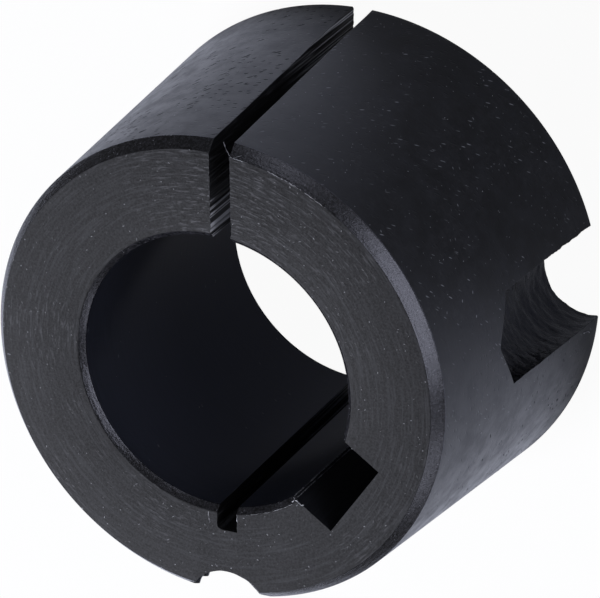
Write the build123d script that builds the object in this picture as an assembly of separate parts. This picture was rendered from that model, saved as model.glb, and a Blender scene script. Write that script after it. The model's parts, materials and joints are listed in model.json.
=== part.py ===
"""Taper bush, size 1008, for a 19 mm keyed shaft.

One iron bush with an 8 degree taper, split along its length so that it closes on the shaft when
it is drawn into a hub.  Two blind half-holes in the taper take the clamping screws, and a third,
tapped right through, takes the screw that pushes the bush out again.

Frame: the origin is on the bore's axis in the plane of the large end, +Z runs towards the small
end, and +X runs through the middle of the keyway.  Angles are measured from +X towards +Y.
"""
from build123d import *
from math import radians, tan
import os

# Tapered body
LARGE_END_DIAMETER = 35.2
LENGTH = 22.2
TAPER_HALF_ANGLE = 4.0
SMALL_END_CHAMFER_WIDTH = 0.66
SMALL_END_CHAMFER_HEIGHT = 0.86
LARGE_END_EDGE_BREAK = 0.15

# Bore and keyway
BORE_DIAMETER = 19.0
BORE_CHAMFER = 0.4
KEYWAY_WIDTH = 6.0
KEYWAY_DEPTH = 2.8
KEYWAY_CORNER_RADIUS = 0.16

# Saw cut: one pass splits the wall on one side and grooves the bore on the other.  The blade
# runs beside the bore's axis and a little out of line with it.
CUT_ANGLE = 125.1
CUT_WIDTH = 1.45
CUT_OFFSET = 0.53
CUT_SKEW = 1.4
GROOVE_DEPTH = 1.6
GROOVE_CORNER_RADIUS = 0.3

# Screw half-holes, whose axes lie just inside the large end's rim.  The blind ones are drilled, and
# their depth is that of the full diameter, below the drill point.
SCREW_AXIS_INSET = 0.75
CLAMP_HOLE_ANGLE = 40.4
CLAMP_HOLE_DIAMETER = 6.6
CLAMP_HOLE_DEPTH = 12.0
DRILL_POINT_ANGLE = 118.0
JACK_HOLE_ANGLE = -52.7
JACK_HOLE_DIAMETER = 5.4

# Length that a cutting tool runs past the surfaces it breaks through
OVERRUN = 2.0

large_radius = LARGE_END_DIAMETER / 2
bore_radius = BORE_DIAMETER / 2
screw_circle_radius = large_radius - SCREW_AXIS_INSET
groove_floor_radius = bore_radius + GROOVE_DEPTH


def cone_radius(height):
    """Radius of the taper at a height above the large end."""
    return large_radius - height * tan(radians(TAPER_HALF_ANGLE))


def turned_blank():
    """The bored and chamfered cone, turned from its half section."""
    shoulder = LENGTH - SMALL_END_CHAMFER_HEIGHT
    section = Polyline(
        (bore_radius + BORE_CHAMFER, 0),
        (large_radius - LARGE_END_EDGE_BREAK, 0),
        (cone_radius(LARGE_END_EDGE_BREAK), LARGE_END_EDGE_BREAK),
        (cone_radius(shoulder), shoulder),
        (cone_radius(shoulder) - SMALL_END_CHAMFER_WIDTH, LENGTH),
        (bore_radius + BORE_CHAMFER, LENGTH),
        (bore_radius, LENGTH - BORE_CHAMFER),
        (bore_radius, BORE_CHAMFER),
        close=True,
    )
    return revolve(Plane.XZ * make_face(section), Axis.Z)


def keyway():
    """The square slot for the key, along the whole bore."""
    reach = bore_radius + KEYWAY_DEPTH
    slot = Pos(reach / 2, 0, LENGTH / 2) * Box(reach, KEYWAY_WIDTH, LENGTH + 2 * OVERRUN)
    floor_corners = slot.faces().sort_by(Axis.X)[-1].edges().filter_by(Axis.Z)
    return fillet(floor_corners, KEYWAY_CORNER_RADIUS)


def saw_cut():
    """The split in the wall and the groove opposite, cut by one blade."""
    span = groove_floor_radius + large_radius + OVERRUN
    blade = Box(span, CUT_WIDTH, LENGTH + 4 * OVERRUN)
    groove_floor = blade.faces().sort_by(Axis.X)[0].edges().filter_by(Axis.Z)
    blade = fillet(groove_floor.sort_by(Axis.Y)[-1], GROOVE_CORNER_RADIUS)
    along = Pos(span / 2 - groove_floor_radius, -CUT_OFFSET, LENGTH / 2)
    return Rot(0, 0, CUT_ANGLE) * along * Rot(CUT_SKEW, 0, 0) * blade


def screw_hole(angle, diameter, depth):
    """A hole on the screw circle: full size from the large end to its depth, then a drill point."""
    base = (Align.CENTER, Align.CENTER, Align.MIN)
    point_height = diameter / 2 / tan(radians(DRILL_POINT_ANGLE / 2))
    drill = Cylinder(diameter / 2, depth + OVERRUN, align=base)
    drill += Pos(0, 0, depth + OVERRUN) * Cone(diameter / 2, 0, point_height, align=base)
    return Rot(0, 0, angle) * Pos(screw_circle_radius, 0, -OVERRUN) * drill


def taper_bush():
    """The finished bush."""
    bush = turned_blank() - keyway() - saw_cut()
    for side in (0, 180):
        bush -= screw_hole(CLAMP_HOLE_ANGLE + side, CLAMP_HOLE_DIAMETER, CLAMP_HOLE_DEPTH)
    return bush - screw_hole(JACK_HOLE_ANGLE, JACK_HOLE_DIAMETER, LENGTH + OVERRUN)


os.makedirs("parts", exist_ok=True)
export_step(taper_bush(), "parts/taper_bush.step")
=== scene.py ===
"""Looks of the taper bush: its true machined surfaces, its tapped thread, its burrs and its finish.

The bush is rebuilt finely from the same sizes as its solid and stands in the solid's place.  All
sizes are in millimetres and are turned into metres where a mesh or a lamp is made.
"""
import bpy
import bmesh
import json
import math
import random
from mathutils import Matrix, Vector, noise


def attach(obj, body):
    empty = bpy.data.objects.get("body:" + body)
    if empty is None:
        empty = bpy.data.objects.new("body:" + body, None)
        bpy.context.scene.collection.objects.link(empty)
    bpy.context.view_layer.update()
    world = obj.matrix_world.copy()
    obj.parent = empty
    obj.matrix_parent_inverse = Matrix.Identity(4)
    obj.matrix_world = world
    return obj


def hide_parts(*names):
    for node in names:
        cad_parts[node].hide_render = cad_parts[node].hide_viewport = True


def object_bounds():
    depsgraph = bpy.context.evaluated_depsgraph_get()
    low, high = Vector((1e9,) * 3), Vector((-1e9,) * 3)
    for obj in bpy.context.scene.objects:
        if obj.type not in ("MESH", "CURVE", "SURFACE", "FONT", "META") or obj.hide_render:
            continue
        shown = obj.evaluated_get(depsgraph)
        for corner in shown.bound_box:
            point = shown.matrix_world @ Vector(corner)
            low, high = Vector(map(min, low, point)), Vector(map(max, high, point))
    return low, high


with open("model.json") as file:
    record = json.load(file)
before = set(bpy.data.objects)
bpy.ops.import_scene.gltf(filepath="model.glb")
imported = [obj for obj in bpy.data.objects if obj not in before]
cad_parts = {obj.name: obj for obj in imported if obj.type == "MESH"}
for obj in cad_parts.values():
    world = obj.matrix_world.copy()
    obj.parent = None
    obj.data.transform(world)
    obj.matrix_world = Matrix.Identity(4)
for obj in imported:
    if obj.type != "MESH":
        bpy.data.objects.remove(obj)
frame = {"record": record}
cad_low, cad_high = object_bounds()
record = frame["record"]
mounts = {mount["name"]: mount for mount in record["mounts"]}

MM = 0.001

# Main sizes, from the frame
LENGTH = (cad_high.z - cad_low.z) / MM
BORE_RADIUS = mounts["bore"]["dims"]["r_mm"]
BORE_CHAMFER = (LENGTH - mounts["bore"]["dims"]["length_mm"]) / 2
KEYWAY_FLOOR = mounts["keyway"]["pos_m"][0] / MM
CLAMP_HOLE_CENTRE = Vector(mounts["clamp_holes"]["pos_m"][:2]) / MM
JACK_HOLE_CENTRE = Vector(mounts["jack_hole"]["pos_m"][:2]) / MM

# Sizes of the solid that the frame doesn't give
LARGE_RADIUS = 17.6
TAPER_SLOPE = math.tan(math.radians(4.0))
SMALL_END_CHAMFER = (0.66, 0.86)
LARGE_END_BREAK = 0.15
KEYWAY_WIDTH = 6.0
CUT_ANGLE = math.radians(125.1)
CUT_WIDTH = 1.45
CUT_OFFSET = 0.53
CUT_SKEW = math.radians(1.4)
GROOVE_FLOOR = BORE_RADIUS + 1.6
GROOVE_ROUND = 0.3
CLAMP_HOLE_RADIUS = 3.3
CLAMP_HOLE_DEPTH = 12.0
DRILL_POINT_HEIGHT = CLAMP_HOLE_RADIUS / math.tan(math.radians(59))
JACK_CREST_RADIUS = 2.7

# Quarter-inch thread of the jacking hole, with the share of its pitch that is flat at crest and root
THREAD_PITCH = 1.27
THREAD_ROOT_RADIUS = 3.2
THREAD_FLAT = 0.16

# Rounds too small for the solid: of the turned edges, and of the chamfer's edge on the faced end
EDGE_BREAK = 0.05
RIM_BREAK = 0.025

# The faced end is modelled this much low, so that its burrs reach the full length
BURR_ROOM = 0.05

# How finely round surfaces and cut walls are divided, and where the taper has rings of corners
STEPS_ROUND = 540
STEPS_TOOL = 96
STEPS_SAW = 260
TAPER_RINGS = (0.6, 3.0, 8.0, 13.0, 18.0)

# How far the cutters reach past the bush; the skewed saw blade reaches twice as far at its ends
OVERRUN = 2.0

# The radius halfway across the faced end
FACE_MIDDLE = 12.5


# ---------------------------------------------------------------- shader helpers

def linear(hex_colour):
    """A colour written as sRGB hex, as linear RGBA."""
    channels = [int(hex_colour[i:i + 2], 16) / 255 for i in (1, 3, 5)]
    return [c / 12.92 if c <= 0.04045 else ((c + 0.055) / 1.055) ** 2.4 for c in channels] + [1.0]


def add_node(tree, kind, *values, **named):
    """Adds a node.  Names in small letters are its settings.  The values fill its inputs in order, and
    names with a capital are inputs too.  A node given as a value is linked by its first output."""
    made = tree.nodes.new(kind)
    for name, value in named.items():
        if name[0].islower():
            setattr(made, name, value)
    used = [socket for socket in made.inputs if socket.enabled]
    given = list(zip(used, values))
    for name, value in named.items():
        if name[0].isupper():
            label = name.replace("_", " ")
            given.append((next(socket for socket in used if socket.name == label), value))
    for socket, value in given:
        if isinstance(value, bpy.types.Node):
            value = next(output for output in value.outputs if output.enabled)
        if isinstance(value, bpy.types.NodeSocket):
            tree.links.new(value, socket)
        else:
            socket.default_value = value
    return made


def new_material(name):
    """An empty material, and its node tree."""
    material = bpy.data.materials.new(name)
    material.use_nodes = True
    material.node_tree.nodes.clear()
    return material, material.node_tree


def turned_coordinates(tree):
    """A place in millimetres, turned so that the seam of its angle falls in the saw cut, and its angle,
    height and radius."""
    place = add_node(tree, "ShaderNodeTexCoord").outputs["Object"]
    turned = add_node(tree, "ShaderNodeMapping", place, Rotation=(0, 0, math.pi - CUT_ANGLE),
                      Scale=(1 / MM,) * 3)
    x, y, height = add_node(tree, "ShaderNodeSeparateXYZ", turned).outputs
    angle = add_node(tree, "ShaderNodeMath", y, x, operation="ARCTAN2")
    x_squared = add_node(tree, "ShaderNodeMath", x, x, operation="MULTIPLY")
    y_squared = add_node(tree, "ShaderNodeMath", y, y, operation="MULTIPLY")
    squared = add_node(tree, "ShaderNodeMath", x_squared, y_squared, operation="ADD")
    radius = add_node(tree, "ShaderNodeMath", squared, operation="SQRT")
    return turned, angle, height, radius


def stretched(tree, along, across, stretch, lean=0.0):
    """Flat coordinates in which a round speck becomes a dash, leaning a little off its line."""
    shortened = add_node(tree, "ShaderNodeMath", along, stretch, operation="DIVIDE")
    slope = add_node(tree, "ShaderNodeMath", along, lean, operation="MULTIPLY")
    leaning = add_node(tree, "ShaderNodeMath", across, slope, operation="ADD")
    return add_node(tree, "ShaderNodeCombineXYZ", shortened, leaning, 0.0)


def clouds(tree, vector, scale, low, high, detail=2.0, roughness=0.5, least=0.0, most=1.0):
    """Soft-edged patches: a noise that rises from the least to the most between two of its levels."""
    drift = add_node(tree, "ShaderNodeTexNoise", vector, Scale=scale, Detail=detail, Roughness=roughness)
    return add_node(tree, "ShaderNodeMapRange", drift, low, high, least, most,
                    interpolation_type="SMOOTHSTEP")


def specks(tree, vector, spacing, size, share):
    """Small uneven specks of a radius: one possible speck in each cell of the spacing, some left out."""
    # the outline of a speck is bent by a noise finer than the spacing
    wander = add_node(tree, "ShaderNodeTexNoise", vector, noise_dimensions="2D", Scale=2.2 / spacing,
                      Detail=1.0)
    shift = add_node(tree, "ShaderNodeVectorMath", wander.outputs["Color"], operation="SCALE",
                     Scale=1.1 * size)
    moved = add_node(tree, "ShaderNodeVectorMath", vector, shift, operation="ADD")
    cells = add_node(tree, "ShaderNodeTexVoronoi", moved, feature="F1", voronoi_dimensions="2D",
                     Scale=1 / spacing)
    edge = size / spacing
    outside = add_node(tree, "ShaderNodeMapRange", cells.outputs["Distance"], edge * 0.4, edge,
                       interpolation_type="SMOOTHSTEP")
    inside = add_node(tree, "ShaderNodeMath", 1.0, outside, operation="SUBTRACT")
    chance = add_node(tree, "ShaderNodeSeparateColor", cells.outputs["Color"])
    kept = add_node(tree, "ShaderNodeMath", chance, share, operation="LESS_THAN")
    return add_node(tree, "ShaderNodeMath", inside, kept, operation="MULTIPLY")


def coloured(tree, ground, *layers):
    """A ground colour with others laid over it, each through a mask at a share of its strength."""
    colour = linear(ground)
    for mask, share, shade in layers:
        weaker = add_node(tree, "ShaderNodeMath", mask, share, operation="MULTIPLY")
        colour = add_node(tree, "ShaderNodeMix", weaker, colour, linear(shade), data_type="RGBA")
    return colour


def iron_skin(tree, specular, tint, colour, roughness, relief, depth, edge=0.06, metallic=0.0):
    """A thin black oxide skin over grey iron: its gloss, its colour, its relief of a depth in
    millimetres, and its softly broken edges."""
    edges = add_node(tree, "ShaderNodeBevel", samples=4, Radius=edge * MM)
    bump = add_node(tree, "ShaderNodeBump", Strength=1.0, Distance=depth * MM, Height=relief,
                    Normal=edges)
    skin = add_node(tree, "ShaderNodeBsdfPrincipled", Base_Color=colour, Roughness=roughness,
                    Metallic=metallic, Specular_IOR_Level=specular, Specular_Tint=linear(tint),
                    Normal=bump)
    add_node(tree, "ShaderNodeOutputMaterial", skin)


# ---------------------------------------------------------------- materials

def taper_finish():
    """Turned and blackened taper: a smooth satin skin, cloudy, with shallow dark pits and pale rubs."""
    material, tree = new_material("blackened_turned_taper")
    turned, angle, height, _ = turned_coordinates(tree)
    arc = add_node(tree, "ShaderNodeMath", angle, LARGE_RADIUS, operation="MULTIPLY")
    cloud = clouds(tree, turned, 0.6, 0.34, 0.68, 6.0, 0.7)
    drift = clouds(tree, turned, 0.3, 0.44, 0.58, 3.0)

    # pitted most on the side behind the split, rubbed most on the side before it
    behind_split = add_node(tree, "ShaderNodeMapRange", angle, -1.9, -2.5, 0.12, 1.0,
                            interpolation_type="SMOOTHSTEP")
    before_split = add_node(tree, "ShaderNodeMapRange", angle, 1.5, 1.9, 0.3, 1.0,
                            interpolation_type="SMOOTHSTEP")
    # scuffed in patches low on the side of the keyway
    scuffed = clouds(tree, turned, 0.35, 0.44, 0.60)
    for place, start, end in ((angle, -0.5, 0.1), (angle, 1.6, 1.2), (height, 20.0, 12.0)):
        within = add_node(tree, "ShaderNodeMapRange", place, start, end, interpolation_type="SMOOTHSTEP")
        scuffed = add_node(tree, "ShaderNodeMath", scuffed, within, operation="MULTIPLY")

    pits = specks(tree, stretched(tree, arc, height, 2.0, -0.35), 0.40, 0.085, 0.42)
    worn = clouds(tree, turned, 0.2, 0.44, 0.58, least=0.1)
    pits = add_node(tree, "ShaderNodeMath", pits, worn, operation="MULTIPLY")
    dents = specks(tree, stretched(tree, arc, height, 2.4, -0.7), 0.85, 0.11, 0.25)
    pits = add_node(tree, "ShaderNodeMath", pits, dents, operation="MAXIMUM")
    pitted = add_node(tree, "ShaderNodeMath", behind_split, scuffed, operation="MAXIMUM")
    pits = add_node(tree, "ShaderNodeMath", pits, pitted, operation="MULTIPLY")

    dashes = specks(tree, stretched(tree, arc, height, 2.3, -0.9), 0.46, 0.070, 0.26)
    crossed = specks(tree, stretched(tree, arc, height, 2.0, 0.4), 0.90, 0.065, 0.20)
    crumbs = specks(tree, add_node(tree, "ShaderNodeCombineXYZ", arc, height, 0.0), 0.55, 0.05, 0.12)
    strength = clouds(tree, turned, 1.1, 0.36, 0.66, 2.0, 0.7, least=0.2)
    rubs = add_node(tree, "ShaderNodeMath", dashes, crossed, operation="MAXIMUM")
    rubs = add_node(tree, "ShaderNodeMath", rubs, drift, operation="MULTIPLY")
    rubs = add_node(tree, "ShaderNodeMath", rubs, crumbs, operation="MAXIMUM")
    rubs = add_node(tree, "ShaderNodeMath", rubs, before_split, operation="MULTIPLY")
    rubs = add_node(tree, "ShaderNodeMath", rubs, strength, operation="MULTIPLY")
    knocks = specks(tree, stretched(tree, arc, height, 1.8, 0.8), 0.50, 0.055, 0.15)
    knocks = add_node(tree, "ShaderNodeMath", knocks, scuffed, operation="MULTIPLY")

    mottle = clouds(tree, turned, 1.8, 0.46, 0.66, 4.0, 0.8)
    share = add_node(tree, "ShaderNodeMapRange", drift, To_Min=0.1, To_Max=0.4)
    mottle = add_node(tree, "ShaderNodeMath", mottle, share, operation="MULTIPLY")
    colour = coloured(tree, "#040404", (cloud, 1.0, "#151619"), (mottle, 1.0, "#2a2a2d"),
                      (pits, 1.0, "#040405"), (rubs, 1.0, "#85868c"), (knocks, 1.0, "#8c8d92"))

    turning = add_node(tree, "ShaderNodeTexNoise", stretched(tree, arc, height, 25.0), Scale=5.0,
                       Detail=3.0)
    turning = add_node(tree, "ShaderNodeMath", turning, 0.06, operation="MULTIPLY")
    relief = add_node(tree, "ShaderNodeMath", turning, pits, operation="SUBTRACT")
    smooth = add_node(tree, "ShaderNodeMapRange", cloud, To_Min=0.28, To_Max=0.42)
    dull = add_node(tree, "ShaderNodeMath", pits, 0.3, operation="MULTIPLY")
    rough = add_node(tree, "ShaderNodeMath", smooth, dull, operation="ADD")
    iron_skin(tree, 0.36, "#f0f2ff", colour, rough, relief, 0.05)
    return material


def chamfer_finish():
    """Turned chamfer: glossier than the taper, with the coarse grain of a quick tool."""
    material, tree = new_material("blackened_turned_chamfer")
    turned, angle, height, _ = turned_coordinates(tree)
    arc = add_node(tree, "ShaderNodeMath", angle, LARGE_RADIUS, operation="MULTIPLY")
    grain = add_node(tree, "ShaderNodeTexNoise", turned, Scale=5.0, Detail=4.0, Roughness=0.75)
    pale = add_node(tree, "ShaderNodeMapRange", grain, 0.38, 0.62, interpolation_type="SMOOTHSTEP")
    dots = specks(tree, add_node(tree, "ShaderNodeCombineXYZ", arc, height, 0.0), 0.4, 0.05, 0.12)
    colour = coloured(tree, "#030303", (pale, 1.0, "#323236"), (dots, 0.6, "#85868c"))
    rings = add_node(tree, "ShaderNodeTexNoise", stretched(tree, arc, height, 8.0), Scale=6.0,
                     Detail=3.0)
    relief = add_node(tree, "ShaderNodeMath", rings, grain, operation="ADD")
    rough = add_node(tree, "ShaderNodeMapRange", grain, To_Min=0.15, To_Max=0.27)
    iron_skin(tree, 1.0, "#f0f1ff", colour, rough, relief, 0.022, 0.02)
    return material


def faced_finish():
    """Faced end: matt blackened iron with a fine grain and broken feed marks of a chattering tool."""
    material, tree = new_material("blackened_faced_end")
    turned, angle, _, radius = turned_coordinates(tree)
    arc = add_node(tree, "ShaderNodeMath", angle, FACE_MIDDLE, operation="MULTIPLY")

    # feed marks about 0.2 mm apart, broken into lengths of half a millimetre to 2 mm, that are
    # strongest beside the split and in a few patches
    feed = add_node(tree, "ShaderNodeTexNoise", stretched(tree, arc, radius, 5.0), Scale=6.0,
                    Detail=2.0, Roughness=0.6)
    around = add_node(tree, "ShaderNodeMath", angle, 0.1, operation="ADD")
    around = add_node(tree, "ShaderNodeMath", around, operation="ABSOLUTE")
    chatter = add_node(tree, "ShaderNodeMapRange", around, 2.4, 3.05, interpolation_type="SMOOTHSTEP")
    patch = clouds(tree, turned, 0.2, 0.46, 0.68, 1.0)
    weaker = add_node(tree, "ShaderNodeMath", patch, 0.6, operation="MULTIPLY")
    strength = add_node(tree, "ShaderNodeMath", chatter, weaker, operation="MAXIMUM")
    strength = add_node(tree, "ShaderNodeMapRange", strength, To_Min=0.1, To_Max=1.0)
    bright = add_node(tree, "ShaderNodeMapRange", feed, 0.52, 0.70, interpolation_type="SMOOTHSTEP")
    bright = add_node(tree, "ShaderNodeMath", bright, strength, operation="MULTIPLY")
    dark = add_node(tree, "ShaderNodeMapRange", feed, 0.48, 0.30, interpolation_type="SMOOTHSTEP")
    dark = add_node(tree, "ShaderNodeMath", dark, strength, operation="MULTIPLY")

    # finer marks all round, stronger on some rings than on others
    fine = clouds(tree, stretched(tree, arc, radius, 16.0), 5.2, 0.46, 0.62, 2.0, 0.6)
    rings = add_node(tree, "ShaderNodeCombineXYZ", angle, radius, 3.0)
    ringed = clouds(tree, rings, 0.9, 0.4, 0.6, 1.0, least=0.25, most=0.8)
    fine = add_node(tree, "ShaderNodeMath", fine, ringed, operation="MULTIPLY")

    grain = add_node(tree, "ShaderNodeTexNoise", turned, Scale=6.0, Detail=5.0, Roughness=0.8)
    pale = add_node(tree, "ShaderNodeMapRange", grain, 0.30, 0.70, interpolation_type="SMOOTHSTEP")
    flecks = specks(tree, stretched(tree, arc, radius, 2.0, 0.6), 0.42, 0.045, 0.16)
    share = add_node(tree, "ShaderNodeMapRange", patch, To_Min=0.3, To_Max=0.9)
    flecks = add_node(tree, "ShaderNodeMath", flecks, share, operation="MULTIPLY")
    dots = specks(tree, add_node(tree, "ShaderNodeCombineXYZ", arc, radius, 0.0), 0.8, 0.05, 0.045)
    scratches = specks(tree, stretched(tree, arc, radius, 3.0, 1.1), 1.2, 0.035, 0.12)
    bare = add_node(tree, "ShaderNodeMath", dots, scratches, operation="MAXIMUM")
    colour = coloured(tree, "#151516", (pale, 1.0, "#3a3a3c"), (fine, 0.5, "#46474a"),
                      (dark, 0.5, "#171718"), (bright, 0.62, "#68686c"), (flecks, 0.7, "#7a7b7e"),
                      (bare, 0.85, "#98999f"))

    grooves = add_node(tree, "ShaderNodeMath", feed, strength, operation="MULTIPLY")
    grains = add_node(tree, "ShaderNodeMath", grain, 0.7, operation="MULTIPLY")
    relief = add_node(tree, "ShaderNodeMath", grooves, grains, operation="ADD")
    rough = add_node(tree, "ShaderNodeMapRange", grain, To_Min=0.52, To_Max=0.66)
    iron_skin(tree, 0.1, "#ffffff", colour, rough, relief, 0.03, 0.03)
    return material


def bore_finish():
    """Reamed bore: the smoothest surface, with faint rings and a few rubbed marks."""
    material, tree = new_material("blackened_reamed_bore")
    _, angle, height, _ = turned_coordinates(tree)
    arc = add_node(tree, "ShaderNodeMath", angle, BORE_RADIUS, operation="MULTIPLY")
    rings = add_node(tree, "ShaderNodeTexNoise", stretched(tree, arc, height, 12.0), Scale=3.0,
                     Detail=4.0, Roughness=0.6)
    marks = specks(tree, stretched(tree, arc, height, 2.5, -0.3), 1.3, 0.06, 0.2)
    colour = coloured(tree, "#1c1e24", (rings, 1.0, "#2a2c34"), (marks, 0.7, "#6b6c72"))
    rough = add_node(tree, "ShaderNodeMapRange", rings, To_Min=0.26, To_Max=0.36)
    iron_skin(tree, 1.0, "#ccd5ff", colour, rough, rings, 0.006, 0.02)
    return material


def cut_finish(name, dark, light, roughness, across=4.0, along=0.12, specular=0.35):
    """Broached and drilled walls: dark, with uneven paler streaks that have so many waves to a
    millimetre across and along the cut."""
    material, tree = new_material(name)
    place = add_node(tree, "ShaderNodeTexCoord").outputs["Object"]
    lines = add_node(tree, "ShaderNodeMapping", place, Scale=(across / MM, across / MM, along / MM))
    streak = add_node(tree, "ShaderNodeTexNoise", lines, Scale=1.0, Detail=3.0, Roughness=0.6)
    pale = add_node(tree, "ShaderNodeMapRange", streak, 0.45, 0.72, interpolation_type="SMOOTHSTEP")
    colour = coloured(tree, dark, (pale, 1.0, light))
    rough = add_node(tree, "ShaderNodeMapRange", streak, To_Min=roughness, To_Max=roughness + 0.12)
    iron_skin(tree, specular, "#e4e8ff", colour, rough, streak, 0.04)
    return material


def sawn_finish():
    """Sawn wall: nearly black, with pale lines along the cut by the bore and the large end, partly the
    burnish of bare metal and partly a painted reflection.
    """
    material, tree = new_material("blackened_sawn_wall")
    turned, _, height, radius = turned_coordinates(tree)
    # lines across the wall's width that hardly change along the cut
    slow = add_node(tree, "ShaderNodeMath", height, 0.012, operation="MULTIPLY")
    across = add_node(tree, "ShaderNodeCombineXYZ", radius, 0.0, slow)
    lines = add_node(tree, "ShaderNodeTexNoise", across, Scale=6.4, Detail=1.0, Roughness=0.4)
    burnish_and_reflection_lines = add_node(tree, "ShaderNodeMapRange", lines, 0.50, 0.60, interpolation_type="SMOOTHSTEP")

    # the wall of the split only, not that of the groove across the bore from it
    in_split = add_node(tree, "ShaderNodeSeparateXYZ", turned)
    in_split = add_node(tree, "ShaderNodeMath", in_split, 0.0, operation="LESS_THAN")
    # near the bore the pale lines are partly burnish and partly a painted reflection of light on the
    # wall
    burnish_and_reflection_by_bore = add_node(tree, "ShaderNodeMapRange", radius, 12.5, 11.7, interpolation_type="SMOOTHSTEP")
    burnish_and_reflection_by_bore = add_node(tree, "ShaderNodeMath", burnish_and_reflection_by_bore, in_split, operation="MULTIPLY")
    # near the large end the pale lines are a painted reflection of light from below
    reflection_from_below_by_end = add_node(tree, "ShaderNodeMapRange", height, 12.0, 2.0, 0.0, 0.9,
                      interpolation_type="SMOOTHSTEP")
    # the places of painted reflection and burnish, and the pale lines laid within them
    rubbed = add_node(tree, "ShaderNodeMath", burnish_and_reflection_by_bore, reflection_from_below_by_end, operation="MAXIMUM")
    burnish_and_reflection_shine = add_node(tree, "ShaderNodeMath", burnish_and_reflection_lines, rubbed, operation="MULTIPLY")

    # faint hair lines over the whole wall
    slow = add_node(tree, "ShaderNodeMath", height, 0.05, operation="MULTIPLY")
    across = add_node(tree, "ShaderNodeCombineXYZ", radius, 3.0, slow)
    hairs = clouds(tree, across, 7.0, 0.55, 0.75, most=0.12)
    pale = add_node(tree, "ShaderNodeMath", burnish_and_reflection_shine, hairs, operation="ADD")
    colour = coloured(tree, "#070708", (pale, 1.0, "#b4b5ba"))
    rough = add_node(tree, "ShaderNodeMapRange", lines, To_Min=0.36, To_Max=0.5)
    iron_skin(tree, 0.5, "#f2f4ff", colour, rough, lines, 0.04)
    return material


def burr_finish():
    """Fresh burrs and slivers: thin bright crumbs of bare grey iron."""
    material, tree = new_material("bare_iron_burr")
    place = add_node(tree, "ShaderNodeTexCoord").outputs["Object"]
    grain = add_node(tree, "ShaderNodeTexNoise", place, Scale=5.0 / MM, Detail=2.0)
    pale = add_node(tree, "ShaderNodeMapRange", grain, 0.35, 0.65, interpolation_type="SMOOTHSTEP")
    colour = coloured(tree, "#55565b", (pale, 1.0, "#a9aaaf"))
    rough = add_node(tree, "ShaderNodeMapRange", grain, To_Min=0.4, To_Max=0.6)
    iron_skin(tree, 0.5, "#ffffff", colour, rough, grain, 0.01, 0.01, metallic=0.5)
    return material


TAPER = taper_finish()
CHAMFER = chamfer_finish()
FACED = faced_finish()
BORE = bore_finish()
KEY_CUT = cut_finish("blackened_broached_keyway", "#0b0b0d", "#161719", 0.6)
SAW_CUT = sawn_finish()
DRILLED = cut_finish("blackened_drilled_wall", "#030303", "#101114", 0.22, 3.0, 6.0, 0.5)
BURR = burr_finish()


# ---------------------------------------------------------------- meshes

def placed(name, data):
    """A new object in the scene, from the data of a mesh, a lamp or a camera."""
    made = bpy.data.objects.new(name, data)
    bpy.context.scene.collection.objects.link(made)
    return made


def with_modifiers(thing):
    """A new mesh of an object, as its modifiers leave it."""
    return bpy.data.meshes.new_from_object(thing.evaluated_get(bpy.context.evaluated_depsgraph_get()))


def mesh_object(name, bm, materials):
    """A new object from a mesh in millimetres."""
    bm.transform(Matrix.Scale(MM, 4))
    bmesh.ops.recalc_face_normals(bm, faces=bm.faces)
    mesh = bpy.data.meshes.new(name)
    bm.to_mesh(mesh)
    bm.free()
    for material in materials:
        mesh.materials.append(material)
    return placed(name, mesh)


def lathe(name, profile, materials):
    """A closed ring turned from a closed profile of (radius, height, material number) points."""
    bm = bmesh.new()
    rings = []
    for step in range(STEPS_ROUND):
        turn = math.tau * step / STEPS_ROUND
        rings.append([bm.verts.new((r * math.cos(turn), r * math.sin(turn), z)) for r, z, _ in profile])
    for step in range(STEPS_ROUND):
        here, there = rings[step], rings[(step + 1) % STEPS_ROUND]
        for i in range(len(profile)):
            j = (i + 1) % len(profile)
            bm.faces.new((here[i], there[i], there[j], here[j])).material_index = profile[i][2]
    return mesh_object(name, bm, materials)


def broken_corner(before, corner, after, radius):
    """Points of a small rounded edge at a corner of a profile."""
    parts = 3
    corner = Vector(corner)
    start = corner + (Vector(before) - corner).normalized() * radius
    end = corner + (Vector(after) - corner).normalized() * radius
    points = []
    for i in range(parts + 1):
        t = i / parts
        points.append((1 - t) ** 2 * start + 2 * t * (1 - t) * corner + t * t * end)
    return points


def turned_blank():
    """The turned cone and bore, with every turned edge slightly broken."""
    face = LENGTH - BURR_ROOM
    shoulder = LENGTH - SMALL_END_CHAMFER[1]
    top_radius = LARGE_RADIUS - shoulder * TAPER_SLOPE
    rim = top_radius - SMALL_END_CHAMFER[0]
    # each corner, the finish of its broken edge, and the finish of the surface that follows it
    corners = [
        ((BORE_RADIUS + BORE_CHAMFER, 0), 0, 0),
        ((LARGE_RADIUS - LARGE_END_BREAK, 0), 1, 1),
        ((LARGE_RADIUS - LARGE_END_BREAK * TAPER_SLOPE, LARGE_END_BREAK), 1, 1),
        ((top_radius, shoulder), 2, 2),
        ((rim, face), 0, 0),
        ((BORE_RADIUS + BORE_CHAMFER, face), 0, 2),
        ((BORE_RADIUS, face - BORE_CHAMFER), 2, 3),
        ((BORE_RADIUS, BORE_CHAMFER), 2, 2),
    ]
    profile = []
    for i, (corner, edge, surface) in enumerate(corners):
        before = corners[i - 1][0]
        after = corners[(i + 1) % len(corners)][0]
        points = broken_corner(before, corner, after, RIM_BREAK if corner == (rim, face) else EDGE_BREAK)
        for point in points:
            profile.append((point.x, point.y, surface if point is points[-1] else edge))
        if corner[1] == LARGE_END_BREAK:
            for z in (*TAPER_RINGS, shoulder - 0.4):
                profile.append((LARGE_RADIUS - z * TAPER_SLOPE, z, 1))
    return lathe("taper_bush_finish", profile, [FACED, TAPER, CHAMFER, BORE])


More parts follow.
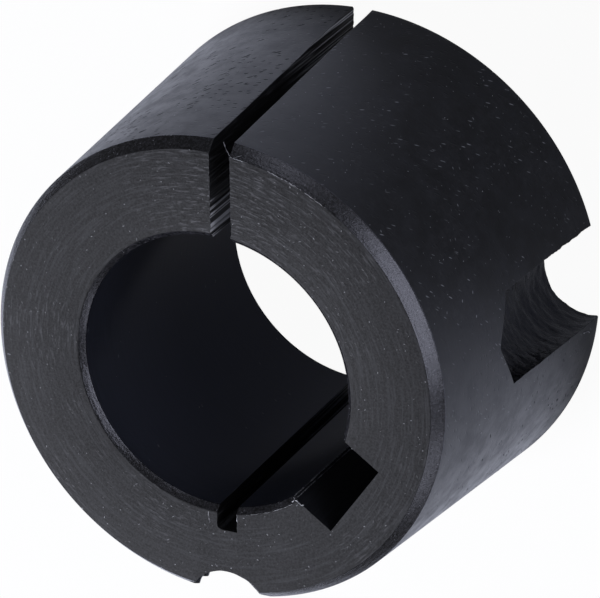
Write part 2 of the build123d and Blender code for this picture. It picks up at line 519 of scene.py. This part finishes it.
def ridges(position, seed, spacing, depth):
    """Uneven ridges of a cut wall, as a height at a position across it."""
    coarse = noise.noise(Vector((position / spacing, seed, 0.5)))
    fine = noise.noise(Vector((position / spacing * 2.7, seed, 7.5)))
    return depth * (coarse + 0.5 * fine)


def saw_blade():
    """The cut's blade: both cheeks carry the ridges that the cut leaves along the wall."""
    bm = bmesh.new()
    reach = LARGE_RADIUS + OVERRUN
    stations = [-GROOVE_FLOOR + (reach + GROOVE_FLOOR) * i / STEPS_SAW for i in range(STEPS_SAW + 1)]
    outline = []
    for x in stations:
        outline.append((x, -CUT_WIDTH / 2 + ridges(x, seed=11.0, spacing=0.24, depth=0.045)))
    for x in reversed(stations):
        edge = CUT_WIDTH / 2 + ridges(x, seed=29.0, spacing=0.24, depth=0.05)
        short = GROOVE_ROUND - (x + GROOVE_FLOOR)
        if short > 0:
            edge -= GROOVE_ROUND - math.sqrt(GROOVE_ROUND ** 2 - short ** 2)
        outline.append((x, edge))
    ends = []
    for z in (-2 * OVERRUN, LENGTH + 2 * OVERRUN):
        ends.append([bm.verts.new((x, y, z)) for x, y in outline])
    size = len(outline)
    for i in range(size):
        j = (i + 1) % size
        bm.faces.new((ends[0][i], ends[0][j], ends[1][j], ends[1][i]))
    bm.faces.new(ends[0])
    bm.faces.new(reversed(ends[1]))
    middle = Matrix.Translation((0, 0, LENGTH / 2))
    bm.transform(middle.inverted())
    bm.transform(Matrix.Rotation(CUT_ANGLE, 4, "Z") @ Matrix.Translation((0, -CUT_OFFSET, LENGTH / 2))
                 @ Matrix.Rotation(CUT_SKEW, 4, "X"))
    return mesh_object("saw_blade", bm, [SAW_CUT])


def key_broach():
    """The keyway's cutter, a plain block from the axis to the keyway's floor."""
    bm = bmesh.new()
    bmesh.ops.create_cube(bm, size=1.0)
    bmesh.ops.scale(bm, vec=(KEYWAY_FLOOR, KEYWAY_WIDTH, LENGTH + 2 * OVERRUN), verts=bm.verts)
    bmesh.ops.translate(bm, vec=(KEYWAY_FLOOR / 2, 0, LENGTH / 2), verts=bm.verts)
    return mesh_object("key_broach", bm, [KEY_CUT])


def round_tool(name, centre, heights, radius_at, material):
    """A closed round cutter whose radius may change with the angle and the height."""
    bm = bmesh.new()
    rows = []
    for z in heights:
        row = []
        for step in range(STEPS_TOOL):
            turn = math.tau * step / STEPS_TOOL
            r = radius_at(turn, z)
            row.append(bm.verts.new((centre.x + r * math.cos(turn), centre.y + r * math.sin(turn), z)))
        rows.append(row)
    for below, above in zip(rows, rows[1:]):
        for i in range(STEPS_TOOL):
            j = (i + 1) % STEPS_TOOL
            bm.faces.new((below[i], below[j], above[j], above[i]))
    bm.faces.new(reversed(rows[0]))
    bm.faces.new(rows[-1])
    return mesh_object(name, bm, [material])


def spread(low, high, parts):
    """Heights that share a length out evenly."""
    return [low + (high - low) * i / parts for i in range(parts + 1)]


def drill(side):
    """A clamping hole's drill, with its point, which left torn marks down the wall."""
    centre = CLAMP_HOLE_CENTRE * side
    tip = CLAMP_HOLE_DEPTH + DRILL_POINT_HEIGHT

    def radius(turn, z):
        # coarse and fine tearing, not the same in both holes
        rough = noise.noise(Vector((2.2 * math.cos(turn), 2.2 * math.sin(turn), z * 1.3 + 40 * side)))
        torn = noise.noise(Vector((9 * math.cos(turn), 9 * math.sin(turn), z * 3.4 + 40 * side)))
        wall = CLAMP_HOLE_RADIUS - 0.02 + 0.07 * rough + 0.05 * torn
        return wall * min(1.0, (tip - z) / DRILL_POINT_HEIGHT)

    heights = spread(-OVERRUN, CLAMP_HOLE_DEPTH, 112) + spread(CLAMP_HOLE_DEPTH, tip - 0.06, 14)[1:]
    return round_tool("drill", centre, heights, radius, DRILLED)


def tap():
    """The tap of the jacking hole: a vee thread with slightly torn crests."""
    def radius(turn, z):
        phase = (z / THREAD_PITCH - turn / math.tau) % 1.0
        flank = 1 - abs(2 * phase - 1)
        shape = min(1.0, max(0.0, (flank - THREAD_FLAT) / (1 - 2 * THREAD_FLAT)))
        torn = 0.05 * noise.noise(Vector((3 * math.cos(turn), 3 * math.sin(turn), z * 2.1)))
        return JACK_CREST_RADIUS + torn + (THREAD_ROOT_RADIUS - JACK_CREST_RADIUS) * shape

    layers = round((LENGTH + 2 * OVERRUN) / THREAD_PITCH * 16)
    heights = spread(-OVERRUN, LENGTH + OVERRUN, layers)
    return round_tool("tap", JACK_HOLE_CENTRE, heights, radius, DRILLED)


def cut_away(piece, tools):
    """Cuts the tools out of the piece, each leaving its own finish on the wall, and removes them."""
    for tool in tools:
        cut = piece.modifiers.new("cut", "BOOLEAN")
        cut.operation = "DIFFERENCE"
        cut.solver = "EXACT"
        cut.material_mode = "TRANSFER"
        cut.object = tool
        finished = with_modifiers(piece)
        piece.modifiers.remove(cut)
        piece.data = finished
        bpy.data.objects.remove(tool)


# ---------------------------------------------------------------- burrs, slivers and nicks

def round_place(angle, radius, z):
    """A place in millimetres at an angle in degrees from the keyway."""
    turn = math.radians(angle)
    return Vector((radius * math.cos(turn), radius * math.sin(turn), z))


def geometry_tree(name, inputs):
    """An empty geometry tree with named inputs: the tree, the sockets of its inputs, its output node."""
    tree = bpy.data.node_groups.new(name, "GeometryNodeTree")
    tree.interface.new_socket("Geometry", in_out="INPUT", socket_type="NodeSocketGeometry")
    for label, kind in inputs:
        tree.interface.new_socket(label, in_out="INPUT", socket_type=kind)
    tree.interface.new_socket("Geometry", in_out="OUTPUT", socket_type="NodeSocketGeometry")
    return tree, tree.nodes.new("NodeGroupInput").outputs, tree.nodes.new("NodeGroupOutput")


def finish_geometry(tree, geometry, material, result):
    """Ends a geometry tree: real faces, with their finish."""
    real = add_node(tree, "GeometryNodeRealizeInstances", geometry)
    finished = add_node(tree, "GeometryNodeSetMaterial", real, Material=material)
    tree.links.new(finished.outputs[0], result.inputs[0])
    return tree


def burr_tree():
    """A ragged thin ridge along the edges of a path."""
    tree, given, result = geometry_tree("burr_along_edge", [
        ("Spacing", "NodeSocketFloat"), ("Height", "NodeSocketFloat"), ("Raggedness", "NodeSocketFloat"),
        ("Seed", "NodeSocketInt"), ("Finish", "NodeSocketMaterial")])
    seed = given["Seed"]
    path = add_node(tree, "GeometryNodeMeshToCurve", given["Geometry"])
    points = add_node(tree, "GeometryNodeResampleCurve", path, mode="LENGTH", Length=given["Spacing"])
    shift = add_node(tree, "FunctionNodeRandomValue", (-1, -1, -1), (1, 1, 1), data_type="FLOAT_VECTOR",
                     Seed=seed)
    shift = add_node(tree, "ShaderNodeVectorMath", shift, operation="SCALE", Scale=given["Raggedness"])
    torn = add_node(tree, "GeometryNodeSetPosition", points, Offset=shift)
    thick = add_node(tree, "FunctionNodeRandomValue", 0.05, 1.0, data_type="FLOAT", Seed=seed)
    section = add_node(tree, "GeometryNodeCurvePrimitiveCircle", Resolution=5, Radius=given["Height"])
    ridge = add_node(tree, "GeometryNodeCurveToMesh", torn, section, Scale=thick, Fill_Caps=True)
    return finish_geometry(tree, ridge, given["Finish"], result)


def sliver_tree():
    """Thin slivers lying at all angles on the faces of one finish, in drifts."""
    tree, given, result = geometry_tree("slivers_on_surface", [
        ("Surface", "NodeSocketMaterial"), ("Per square metre", "NodeSocketFloat"),
        ("Length", "NodeSocketFloat"), ("Drifts", "NodeSocketFloat"), ("Seed", "NodeSocketInt"),
        ("Finish", "NodeSocketMaterial")])
    seed = given["Seed"]
    chosen = add_node(tree, "GeometryNodeMaterialSelection", given["Surface"])

    # none within 0.3 mm of the floor, and crowded where a noise passes the level of the drifts
    place = add_node(tree, "GeometryNodeInputPosition")
    height = add_node(tree, "ShaderNodeSeparateXYZ", place).outputs["Z"]
    above = add_node(tree, "ShaderNodeMath", height, 0.3 * MM, operation="GREATER_THAN")
    drift = add_node(tree, "ShaderNodeTexNoise", Scale=0.35 / MM, Detail=1.0)
    drift = add_node(tree, "ShaderNodeMath", drift, given["Drifts"], operation="SUBTRACT")
    drift = add_node(tree, "ShaderNodeMath", drift, 6.0, operation="MULTIPLY")
    drift = add_node(tree, "ShaderNodeMath", drift, 0.0, operation="MAXIMUM")
    crowd = add_node(tree, "ShaderNodeMath", given["Per square metre"], drift, operation="MULTIPLY")
    crowd = add_node(tree, "ShaderNodeMath", crowd, above, operation="MULTIPLY")
    places = add_node(tree, "GeometryNodeDistributePointsOnFaces", given["Geometry"], Selection=chosen,
                      Density=crowd, Seed=seed)

    angle = add_node(tree, "FunctionNodeRandomValue", 0.0, math.tau, data_type="FLOAT", Seed=seed)
    spin = add_node(tree, "FunctionNodeAxisAngleToRotation", Axis=(0, 0, 1), Angle=angle)
    lying = add_node(tree, "FunctionNodeRotateRotation", places.outputs["Rotation"], spin,
                     rotation_space="LOCAL")
    size = add_node(tree, "FunctionNodeRandomValue", 0.3, 1.0, data_type="FLOAT", Seed=seed)
    ball = add_node(tree, "GeometryNodeMeshIcoSphere", Radius=given["Length"], Subdivisions=1)
    sliver = add_node(tree, "GeometryNodeTransform", ball, Scale=(0.5, 0.14, 0.07))
    slivers = add_node(tree, "GeometryNodeInstanceOnPoints", places, Instance=sliver, Rotation=lying,
                       Scale=size)
    return finish_geometry(tree, slivers, given["Finish"], result)


def grown(name, source, tree, settings):
    """The mesh that a geometry tree makes from a source object, as a new plain object."""
    grower = source.modifiers.new("grower", "NODES")
    grower.node_group = tree
    for item in tree.interface.items_tree:
        if item.in_out == "INPUT" and item.name in settings:
            grower[item.identifier] = settings[item.name]
    mesh = with_modifiers(source)
    source.modifiers.remove(grower)
    return placed(name, mesh)


def joined(name, parts):
    """One object from several, which are removed, with nothing below or above the solid."""
    bm = bmesh.new()
    materials = []
    for part in parts:
        for material in part.data.materials:
            if material not in materials:
                materials.append(material)
        first = len(bm.faces)
        bm.from_mesh(part.data)
        bm.faces.ensure_lookup_table()
        for face in bm.faces[first:]:
            face.material_index = materials.index(part.data.materials[face.material_index])
    for vert in bm.verts:
        vert.co.z = min(max(vert.co.z, cad_low.z), cad_high.z)
    mesh = bpy.data.meshes.new(name)
    bm.to_mesh(mesh)
    bm.free()
    for material in materials:
        mesh.materials.append(material)
    for part in parts:
        bpy.data.objects.remove(part)
    return placed(name, mesh)


def burr(tree, places, spacing, height, raggedness, seed):
    """A burr along a line of places."""
    bm = bmesh.new()
    corners = [bm.verts.new(place * MM) for place in places]
    for one, other in zip(corners, corners[1:]):
        bm.edges.new((one, other))
    mesh = bpy.data.meshes.new("burr_path")
    bm.to_mesh(mesh)
    bm.free()
    path = placed("burr_path", mesh)
    made = grown("burr", path, tree, {"Spacing": spacing * MM, "Height": height * MM, "Seed": seed,
                                      "Raggedness": raggedness * MM, "Finish": BURR})
    bpy.data.objects.remove(path)
    return made


def edge_burrs():
    """Burrs where the saw, the broach and the drill broke out of the turned surfaces."""
    top = LENGTH - BURR_ROOM
    rim = LARGE_RADIUS - (LENGTH - SMALL_END_CHAMFER[1]) * TAPER_SLOPE - SMALL_END_CHAMFER[0]
    bore_rim = BORE_RADIUS + BORE_CHAMFER
    key_x = math.sqrt(BORE_RADIUS ** 2 - (KEYWAY_WIDTH / 2) ** 2)
    side = -KEYWAY_WIDTH / 2

    def arc(radius, start, end):
        count = max(2, round(abs(end - start)))
        return [round_place(start + (end - start) * i / count, radius, top) for i in range(count + 1)]

    # each burr's line of places, the spacing of its points, its height and its raggedness
    lines = [
        # chamfer edge beside the split
        (arc(rim, 119.4, 114.5), 0.10, 0.040, 0.02),
        (arc(rim, 109.5, 100.0), 0.09, 0.036, 0.035),
        (arc(rim, 99.0, 93.0), 0.14, 0.028, 0.03),
        # a curled hair torn up by the saw at the corner of the split
        ([round_place(118.9, rim, top), round_place(119.6, rim + 0.16, top - 0.02),
          round_place(120.8, rim + 0.45, top - 0.2), round_place(122.0, rim + 0.68, top - 0.55)],
         0.12, 0.042, 0.008),
        ([round_place(118.3, rim + 0.05, top), round_place(116.6, rim + 0.28, top - 0.2)],
         0.10, 0.035, 0.02),
        # the keyway's edge in the bore, and the double lip beside it
        ([Vector((key_x, side, 0.6)), Vector((key_x, side, top - 0.25))], 0.35, 0.070, 0.015),
        ([Vector((key_x + 0.2, side + 0.01, 6)), Vector((key_x + 0.2, side + 0.01, top - 0.3))],
         0.3, 0.050, 0.012),
        # torn corner between keyway, bore and faced end
        ([Vector((key_x + 0.1, side, top)), Vector((key_x + 0.45, side - 0.06, top)),
          Vector((key_x + 0.9, side, top))], 0.12, 0.065, 0.06),
        ([Vector((key_x + 0.2, side, top)), Vector((key_x + 0.15, side - 0.5, top))],
         0.10, 0.050, 0.04),
        ([Vector((key_x + 0.5, side, top)), Vector((key_x + 0.55, side - 0.4, top))],
         0.10, 0.050, 0.04),
        ([Vector((bore_rim - 0.3, -side, top - 0.2)), Vector((bore_rim + 0.15, -side, top))],
         0.10, 0.036, 0.02),
        # edge of the bore between groove and keyway
        (arc(bore_rim, 318.0, 340.0), 0.22, 0.020, 0.015),
        # both lips of the groove
        ([round_place(314.0, bore_rim, top), round_place(313.6, bore_rim + 0.55, top)],
         0.12, 0.036, 0.015),
        ([round_place(301.8, bore_rim + 0.1, top), round_place(302.6, bore_rim + 0.9, top)],
         0.16, 0.022, 0.015),
        # a crumb pushed up beside the clamping hole
        ([round_place(27.1, LARGE_RADIUS - 0.05, 1.2), round_place(27.9, LARGE_RADIUS - 0.07, 1.6),
          round_place(28.3, LARGE_RADIUS - 0.12, 2.2)], 0.12, 0.055, 0.035),
    ]
    tree = burr_tree()
    return joined("edge_burrs", [burr(tree, *line, seed) for seed, line in enumerate(lines, 1)])


def surface_slivers(source):
    """Fine slivers and crumbs that cling to the oxide."""
    tree = sliver_tree()
    made = []
    # each finish, its slivers to a square millimetre, their length, the level of their drifts, a seed
    for surface, crowd, size, drifts, seed in (
            (FACED, 0.55, 0.17, 0.35, 3), (TAPER, 0.22, 0.20, 0.40, 5),
            (CHAMFER, 0.90, 0.13, 0.40, 7), (BORE, 0.12, 0.18, 0.40, 9)):
        made.append(grown("slivers", source, tree, {
            "Surface": surface, "Per square metre": crowd / MM ** 2, "Length": size * MM,
            "Drifts": drifts, "Seed": seed, "Finish": BURR}))
    return joined("surface_slivers", made)


def nicks():
    """Small dents knocked into the outer edges and the taper, as one cutter."""
    chance = random.Random(11)
    # each knock's angle, height and size
    knocks = [(355.0, 13.7, 0.14), (357.5, 12.2, 0.10), (359.5, 9.8, 0.14), (1.5, 8.4, 0.12)]
    for i in range(16):
        knocks.append((56 + 7 * i + chance.uniform(0, 5), chance.uniform(0.0, 0.15),
                       chance.uniform(0.06, 0.14)))
    for i in range(14):
        knocks.append((134 + 3 * i + chance.uniform(0, 2), LENGTH - SMALL_END_CHAMFER[1],
                       chance.uniform(0.05, 0.11)))
    bm = bmesh.new()
    for angle, z, size in knocks:
        radius = LARGE_RADIUS - z * TAPER_SLOPE + size * 0.45
        dent = bmesh.ops.create_icosphere(bm, subdivisions=1, radius=size)["verts"]
        spin = chance.uniform(0, math.tau)
        turn = Matrix.Rotation(spin, 3, Vector((chance.random(), 1, chance.random())))
        stretch = Matrix.Diagonal((1.0, 0.7, 1.5))
        for vert in dent:
            vert.co = turn @ (stretch @ vert.co) + round_place(angle, radius, z)
    return mesh_object("nicks", bm, [BURR])


def bush_finish():
    """The whole bush: the turned blank with everything cut out of it, smooth between its sharp edges."""
    piece = turned_blank()
    cut_away(piece, [saw_blade(), key_broach(), drill(1), drill(-1), tap(), nicks()])
    piece.data.shade_smooth()
    piece.data.set_sharp_from_angle(angle=math.radians(24))
    return piece


bush = bush_finish()
slivers = surface_slivers(bush)
burrs = edge_burrs()
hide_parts("taper_bush")
for piece in (bush, slivers, burrs):
    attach(piece, "root")


# ---------------------------------------------------------------- floor, light and camera

# How much of a white ground the gloss is shown.  It is small, because a white ground all round
# would turn the black skin grey.
GLOSS_SHARE = 0.06

# How much of it the camera is shown on the floor, and how much light the surroundings give
CAMERA_SHARE = 0.95
GROUND_LIGHT = 0.02
WHITE = (1, 1, 1, 1)

# The floor lies a hair below the bush, so that the two faces aren't in one plane
FLOOR_RADIUS = 62.0
FLOOR_DROP = 0.01

LAMP_DISTANCE = 420.0
LAMP_COLOUR = "#f2f4ff"


def pale_floor():
    """A plain pale floor that the camera sees as white, and that keeps the shadow of the bush."""
    material, tree = new_material("pale_floor")
    cloth = add_node(tree, "ShaderNodeBsdfDiffuse", Color=linear("#e8ebf4"))
    white = add_node(tree, "ShaderNodeEmission", Color=WHITE, Strength=1.0)
    ray = add_node(tree, "ShaderNodeLightPath").outputs
    mirrored = add_node(tree, "ShaderNodeMath", ray["Is Glossy Ray"], ray["Is Transmission Ray"],
                        operation="ADD")
    mirrored = add_node(tree, "ShaderNodeMath", mirrored, GLOSS_SHARE, operation="MULTIPLY")
    share = add_node(tree, "ShaderNodeMath", ray["Is Camera Ray"], CAMERA_SHARE, operation="MULTIPLY")
    share = add_node(tree, "ShaderNodeMath", share, mirrored, operation="ADD")
    mixed = add_node(tree, "ShaderNodeMixShader", share, cloth, white)
    # seen from below, the floor is clear, so that the underside of the bush can be looked at
    clear = add_node(tree, "ShaderNodeBsdfTransparent")
    below = add_node(tree, "ShaderNodeNewGeometry").outputs["Backfacing"]
    sided = add_node(tree, "ShaderNodeMixShader", below, mixed, clear)
    add_node(tree, "ShaderNodeOutputMaterial", sided)
    bm = bmesh.new()
    bmesh.ops.create_circle(bm, cap_ends=True, segments=STEPS_TOOL, radius=FLOOR_RADIUS)
    bmesh.ops.translate(bm, vec=(0, 0, -FLOOR_DROP), verts=bm.verts)
    floor = mesh_object("floor", bm, [material])
    if floor.data.polygons[0].normal.z < 0:
        floor.data.flip_normals()


def white_surroundings():
    """White surroundings for the camera, which give the bush itself next to no light."""
    world = bpy.data.worlds.new("surroundings")
    bpy.context.scene.world = world
    world.use_nodes = True
    tree = world.node_tree
    tree.nodes.clear()
    dim = add_node(tree, "ShaderNodeBackground", WHITE, GROUND_LIGHT)
    white = add_node(tree, "ShaderNodeBackground", WHITE, 1.0)
    ray = add_node(tree, "ShaderNodeLightPath").outputs
    mirrored = add_node(tree, "ShaderNodeMath", ray["Is Glossy Ray"], GLOSS_SHARE, operation="MULTIPLY")
    seen = add_node(tree, "ShaderNodeMath", ray["Is Camera Ray"], mirrored, operation="MAXIMUM")
    seen = add_node(tree, "ShaderNodeMath", seen, ray["Is Transmission Ray"], operation="MAXIMUM")
    mixed = add_node(tree, "ShaderNodeMixShader", seen, dim, white)
    add_node(tree, "ShaderNodeOutputWorld", mixed)


def soft_lamp(name, bearing, height_angle, size, strength, height=None):
    """A soft lamp, aimed at the bush from a bearing (from +X towards +Y) and a height angle."""
    turn, rise = math.radians(bearing), math.radians(height_angle)
    out = Vector((math.cos(turn) * math.cos(rise), math.sin(turn) * math.cos(rise), math.sin(rise)))
    data = bpy.data.lights.new(name, "AREA")
    data.shape = "RECTANGLE"
    data.size = size * MM
    data.size_y = (height or size) * MM
    data.color = linear(LAMP_COLOUR)[:3]
    # strength is the lamp's own brightness, as a surface seen head on
    data.energy = strength * math.pi * data.size * data.size_y
    lamp = placed(name, data)
    lamp.location = (Vector((0, 0, LENGTH / 2)) + out * LAMP_DISTANCE) * MM
    lamp.rotation_mode = "QUATERNION"
    lamp.rotation_quaternion = (-out).to_track_quat("-Z", "Y")


def camera():
    """A long lens from above, turned so that the bush lies tilted in the picture."""
    bearing, height_angle, roll = math.radians(79.975), math.radians(54.609), math.radians(-129.950)
    distance, shift_right, shift_up = 334.14, 0.706, 0.734
    out = Vector((math.cos(bearing) * math.cos(height_angle), math.sin(bearing) * math.cos(height_angle),
                  math.sin(height_angle)))
    data = bpy.data.cameras.new("camera")
    data.sensor_width = 36.0
    data.lens = 303.17
    data.clip_start, data.clip_end = 0.02, 10.0
    made = placed("camera", data)
    turned = (-out).to_track_quat("-Z", "Y").to_matrix() @ Matrix.Rotation(roll, 3, "Z")
    right, up = turned.col[0], turned.col[1]
    aim = Vector((0, 0, LENGTH / 2)) + right * shift_right + up * shift_up
    made.location = (aim + out * distance) * MM
    made.rotation_mode = "QUATERNION"
    made.rotation_quaternion = turned.to_quaternion()
    bpy.context.scene.camera = made


pale_floor()
white_surroundings()
soft_lamp("back_lamp", bearing=255, height_angle=34, size=220, strength=18)
soft_lamp("front_lamp", bearing=52, height_angle=22, size=460, height=190, strength=2.4)
soft_lamp("left_lamp", bearing=122, height_angle=14, size=140, strength=1.35)
soft_lamp("right_lamp", bearing=350, height_angle=11, size=200, height=130, strength=1.6)
camera()
bpy.context.scene.view_settings.view_transform = "Standard"
